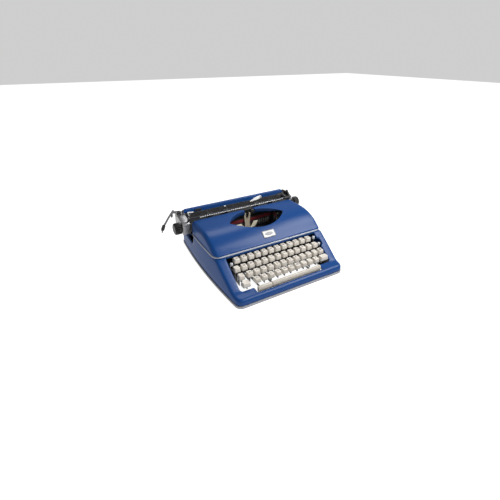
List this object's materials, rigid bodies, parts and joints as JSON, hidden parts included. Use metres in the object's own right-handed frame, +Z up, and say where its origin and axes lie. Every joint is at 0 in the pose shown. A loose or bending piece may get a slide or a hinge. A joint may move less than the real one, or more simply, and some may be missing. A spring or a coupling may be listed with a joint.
{
  "type": "manual typewriter",
  "caption": "Portable manual typewriter: blue housing with hinged hood and type window, sprung keyboard, sliding carriage with turning platen, return lever, paper bail and ribbon spools.",
  "frame": {"origin": "on the table, in the plane of the base rim's underside, under the middle of the base", "axes": "+X to the typist's right along the platen, +Y to the back, +Z up"},
  "size_m": [0.4397, 0.3601, 0.1258],
  "materials": {
    "blue_paint": "satin gloss blue stoving paint",
    "rim_grey": "light grey moulded plastic",
    "rubber": "matt black rubber",
    "bright_trim": "bright satin trim",
    "steel": "plated steel",
    "dark_steel": "blackened steel",
    "keycap": "cream moulded plastic",
    "black_plastic": "black moulded plastic",
    "silver_cover": "silver satin",
    "guide_beige": "beige plastic",
    "ribbon_cloth": "inked two-colour ribbon",
    "badge": "blank polished plate",
    "brass": "brass"
  },
  "bodies": {
    "frame": {"base_rim": "rim_grey", "rubber_feet": "rubber", "lower_housing": "blue_paint", "trim_strip": "bright_trim", "chassis_plates": "steel", "key_comb": "steel", "key_lever_shaft": "steel", "carriage_rail": "steel", "cover_hinge_pins": "steel", "type_segment": "dark_steel", "typebars": "dark_steel", "type_guide": "guide_beige", "ribbon": "ribbon_cloth", "ribbon_guides": "keycap", "spool_cups": "black_plastic", "housing_screws": "steel"},
    "hood": {"top_cover": "blue_paint", "badge_plate": "badge"},
    "carriage": {"carriage_frame": "dark_steel", "end_cover_left": "silver_cover", "end_cover_right": "silver_cover", "line_scale": "bright_trim", "paper_table": "blue_paint", "margin_rack": "steel"},
    "platen": {"platen": "rubber", "platen_shaft": "steel", "platen_knob_left": "black_plastic", "platen_knob_right": "black_plastic", "line_space_ratchet": "steel"},
    "return_lever": {"return_lever": "bright_trim", "return_lever_grip": "black_plastic"},
    "paper_bail": {"paper_bail": "dark_steel", "bail_rollers": "rubber"},
    "paper_support": {"paper_support_arm": "bright_trim"},
    "paper_release": {"paper_release_lever": "black_plastic"},
    "feed_rollers": {"feed_rollers": "rubber"},
    "margin_stop_left": {"margin_stop_left": "black_plastic"},
    "margin_stop_right": {"margin_stop_right": "black_plastic"},
    "key_row_1": {"keytops_row_1": "keycap", "key_levers_row_1": "dark_steel"},
    "key_row_2": {"keytops_row_2": "keycap", "key_levers_row_2": "dark_steel"},
    "key_row_3": {"keytops_row_3": "keycap", "key_levers_row_3": "dark_steel"},
    "key_row_4": {"keytops_row_4": "keycap", "key_levers_row_4": "dark_steel"},
    "centre_key": {"centre_key": "keycap"},
    "centre_typebar": {"centre_typebar": "dark_steel"},
    "shift_left": {"shift_key_left": "keycap"},
    "shift_right": {"shift_key_right": "keycap"},
    "shift_lock": {"shift_lock_key": "keycap"},
    "margin_release": {"margin_release_key": "keycap"},
    "backspace": {"backspace_key": "keycap"},
    "ribbon_selector": {"ribbon_selector_key": "keycap"},
    "space_bar": {"space_bar": "keycap"},
    "repeat_bar": {"repeat_bar": "keycap"},
    "spool_left": {"ribbon_spool_left": "black_plastic"},
    "spool_right": {"ribbon_spool_right": "black_plastic"},
    "mainspring_drum": {"mainspring_drum": "steel"},
    "escapement_wheel": {"escapement_wheel": "brass"}
  },
  "joints": [
    {"name": "hood_hinge", "type": "hinge", "parent": "frame", "child": "hood", "pos_m": [0, 0.057, 0.1055], "axis": [-1, 0, 0], "range_deg": [0, 60]},
    {"name": "carriage_travel", "type": "slide", "parent": "frame", "child": "carriage", "axis": [-1, 0, 0], "range_m": [-0.105, 0.105]},
    {"name": "platen_turn", "type": "hinge", "parent": "carriage", "child": "platen", "pos_m": [0, 0.088, 0.089], "axis": [1, 0, 0], "continuous": true},
    {"name": "feed_roller_turn", "type": "hinge", "parent": "carriage", "child": "feed_rollers", "pos_m": [0, 0.09865, 0.07055], "axis": [1, 0, 0], "continuous": true},
    {"name": "return_lever_swing", "type": "hinge", "parent": "carriage", "child": "return_lever", "pos_m": [-0.1695, 0.118, 0.12], "axis": [0, 0, 1], "range_deg": [0, 38], "stiffness_Nm_per_rad": 0.4, "springref_deg": -17.19},
    {"name": "paper_bail_lift", "type": "hinge", "parent": "carriage", "child": "paper_bail", "pos_m": [0, 0.108, 0.104], "axis": [-1, 0, 0], "range_deg": [0, 55], "stiffness_Nm_per_rad": 0.1, "springref_deg": -34.38},
    {"name": "paper_support_flip", "type": "hinge", "parent": "carriage", "child": "paper_support", "pos_m": [0.0775, 0.11379, 0.117], "axis": [0, 0.9849, -0.173], "range_deg": [0, 100]},
    {"name": "paper_release_pull", "type": "hinge", "parent": "carriage", "child": "paper_release", "pos_m": [0.1705, 0.112, 0.1172], "axis": [-1, 0, 0], "range_deg": [0, 25]},
    {"name": "margin_left_set", "type": "slide", "parent": "carriage", "child": "margin_stop_left", "axis": [1, 0, 0], "range_m": [-0.05, 0.08]},
    {"name": "margin_right_set", "type": "slide", "parent": "carriage", "child": "margin_stop_right", "axis": [1, 0, 0], "range_m": [-0.08, 0.05]},
    {"name": "key_row_1_press", "type": "hinge", "parent": "frame", "child": "key_row_1", "pos_m": [0, 0.058, 0.044], "axis": [1, 0, 0], "range_deg": [0, 5.2], "stiffness_Nm_per_rad": 4, "springref_deg": -8.59},
    {"name": "key_row_2_press", "type": "hinge", "parent": "frame", "child": "key_row_2", "pos_m": [0, 0.058, 0.044], "axis": [1, 0, 0], "range_deg": [0, 4.6], "stiffness_Nm_per_rad": 4, "springref_deg": -8.59},
    {"name": "key_row_3_press", "type": "hinge", "parent": "frame", "child": "key_row_3", "pos_m": [0, 0.058, 0.044], "axis": [1, 0, 0], "range_deg": [0, 4.1], "stiffness_Nm_per_rad": 4, "springref_deg": -8.59},
    {"name": "key_row_4_press", "type": "hinge", "parent": "frame", "child": "key_row_4", "pos_m": [0, 0.058, 0.044], "axis": [1, 0, 0], "range_deg": [0, 3.7], "stiffness_Nm_per_rad": 4, "springref_deg": -8.59},
    {"name": "centre_key_press", "type": "hinge", "parent": "frame", "child": "centre_key", "pos_m": [0, 0.058, 0.044], "axis": [1, 0, 0], "range_deg": [0, 4.6], "stiffness_Nm_per_rad": 0.4, "springref_deg": -8.59},
    {"name": "centre_typebar_swing", "type": "hinge", "parent": "frame", "child": "centre_typebar", "pos_m": [0, 0.03, 0.058], "axis": [-1, 0, 0], "range_deg": [0, 121.05]},
    {"name": "shift_left_press", "type": "hinge", "parent": "frame", "child": "shift_left", "pos_m": [0, 0.058, 0.044], "axis": [1, 0, 0], "range_deg": [0, 2.85], "stiffness_Nm_per_rad": 0.4, "springref_deg": -8.59},
    {"name": "shift_right_press", "type": "hinge", "parent": "frame", "child": "shift_right", "pos_m": [0, 0.058, 0.044], "axis": [1, 0, 0], "range_deg": [0, 2.85], "stiffness_Nm_per_rad": 0.4, "springref_deg": -8.59},
    {"name": "shift_lock_press", "type": "hinge", "parent": "frame", "child": "shift_lock", "pos_m": [0, 0.058, 0.044], "axis": [1, 0, 0], "range_deg": [0, 2.2], "stiffness_Nm_per_rad": 0.4, "springref_deg": -8.59},
    {"name": "margin_release_press", "type": "hinge", "parent": "frame", "child": "margin_release", "pos_m": [0, 0.058, 0.044], "axis": [1, 0, 0], "range_deg": [0, 2.3], "stiffness_Nm_per_rad": 0.4, "springref_deg": -8.59},
    {"name": "backspace_press", "type": "hinge", "parent": "frame", "child": "backspace", "pos_m": [0, 0.058, 0.044], "axis": [1, 0, 0], "range_deg": [0, 2.7], "stiffness_Nm_per_rad": 0.4, "springref_deg": -8.59},
    {"name": "ribbon_selector_press", "type": "hinge", "parent": "frame", "child": "ribbon_selector", "pos_m": [0, 0.058, 0.044], "axis": [1, 0, 0], "range_deg": [0, 2.1], "stiffness_Nm_per_rad": 0.4, "springref_deg": -8.59},
    {"name": "space_bar_press", "type": "hinge", "parent": "frame", "child": "space_bar", "pos_m": [0, 0.058, 0.044], "axis": [1, 0, 0], "range_deg": [0, 2.05], "stiffness_Nm_per_rad": 0.9, "springref_deg": -8.59},
    {"name": "repeat_bar_press", "type": "hinge", "parent": "frame", "child": "repeat_bar", "pos_m": [0, 0.058, 0.044], "axis": [1, 0, 0], "range_deg": [0, 2.05], "stiffness_Nm_per_rad": 0.9, "springref_deg": -8.59},
    {"name": "spool_left_turn", "type": "hinge", "parent": "frame", "child": "spool_left", "pos_m": [-0.092, 0.004, 0.084], "axis": [0, 0, 1], "continuous": true},
    {"name": "spool_right_turn", "type": "hinge", "parent": "frame", "child": "spool_right", "pos_m": [0.092, 0.004, 0.084], "axis": [0, 0, 1], "continuous": true},
    {"name": "mainspring_turn", "type": "hinge", "parent": "frame", "child": "mainspring_drum", "pos_m": [-0.1, 0.13, 0.025], "axis": [0, 1, 0], "range_deg": [-450, 450]},
    {"name": "escapement_turn", "type": "hinge", "parent": "frame", "child": "escapement_wheel", "pos_m": [0.02, 0.1, 0.0523], "axis": [0, 1, 0], "range_deg": [-1010, 1010]}
  ],
  "couplings": [
    {"joint": "feed_roller_turn", "follows": "platen_turn", "ratio": -4.25},
    {"joint": "centre_typebar_swing", "follows": "centre_key_press", "ratio": 26.304},
    {"joint": "shift_right_press", "follows": "shift_left_press", "ratio": 1},
    {"joint": "spool_right_turn", "follows": "spool_left_turn", "ratio": 1},
    {"joint": "mainspring_turn", "follows": "carriage_travel", "rad_per_m": -71.429},
    {"joint": "escapement_turn", "follows": "carriage_travel", "rad_per_m": -166.67}
  ]
}
